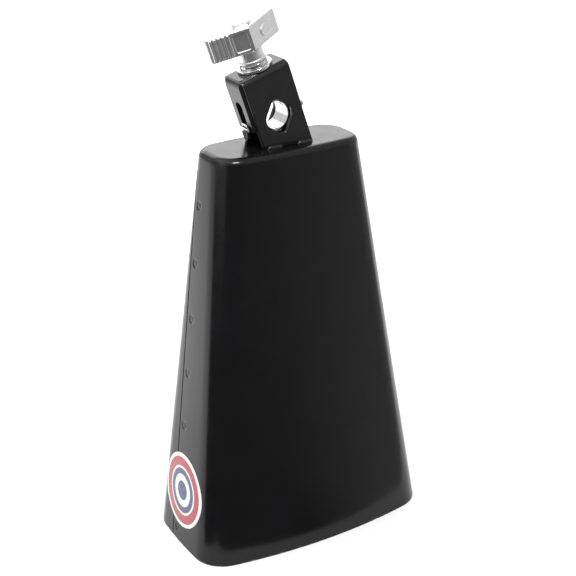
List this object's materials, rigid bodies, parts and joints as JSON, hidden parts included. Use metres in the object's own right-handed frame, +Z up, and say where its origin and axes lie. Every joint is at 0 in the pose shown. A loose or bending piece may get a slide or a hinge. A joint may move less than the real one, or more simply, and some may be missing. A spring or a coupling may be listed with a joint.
{
  "type": "cowbell",
  "caption": "Tapered sheet metal cowbell with a leaning bracket on its crown, an eye bolt clamp inside the bracket and a wing nut that draws it up.",
  "frame": {"origin": "centre of the mouth, in the plane of the rim", "axes": "+Z up the bell axis to the crown and the bracket, X along the wide faces with the bracket leaning toward -X, the front wide face looking along -Y"},
  "size_m": [0.131, 0.077, 0.2658],
  "materials": {
    "black_paint": "satin gloss black paint",
    "bracket_paint": "gloss black paint",
    "plated_steel": "bright plated steel",
    "cast_chrome": "chromed casting",
    "sticker": "printed vinyl"
  },
  "bodies": {
    "bell": {"front_shell": "black_paint", "rear_shell": "black_paint", "seam_spot_welds": "black_paint", "mount_bracket": "bracket_paint", "bracket_welds": "bracket_paint", "flat_washer": "plated_steel", "spring_washer": "plated_steel", "badge": "sticker"},
    "wing_nut": {"wing_nut": "cast_chrome"},
    "eye_bolt": {"eye_bolt": "plated_steel"}
  },
  "joints": [
    {"name": "wing_nut_turn", "type": "hinge", "parent": "bell", "child": "wing_nut", "pos_m": [0, 0, 0.203], "axis": [-0.3007, 0, 0.9537], "range_deg": [-1440, 576]},
    {"name": "eye_bolt_lift", "type": "slide", "parent": "bell", "child": "eye_bolt", "axis": [-0.3007, 0, 0.9537], "range_m": [-0.002, 0.005]}
  ],
  "couplings": [
    {"joint": "wing_nut_turn", "follows": "eye_bolt_lift", "rad_per_m": -5026.5}
  ]
}
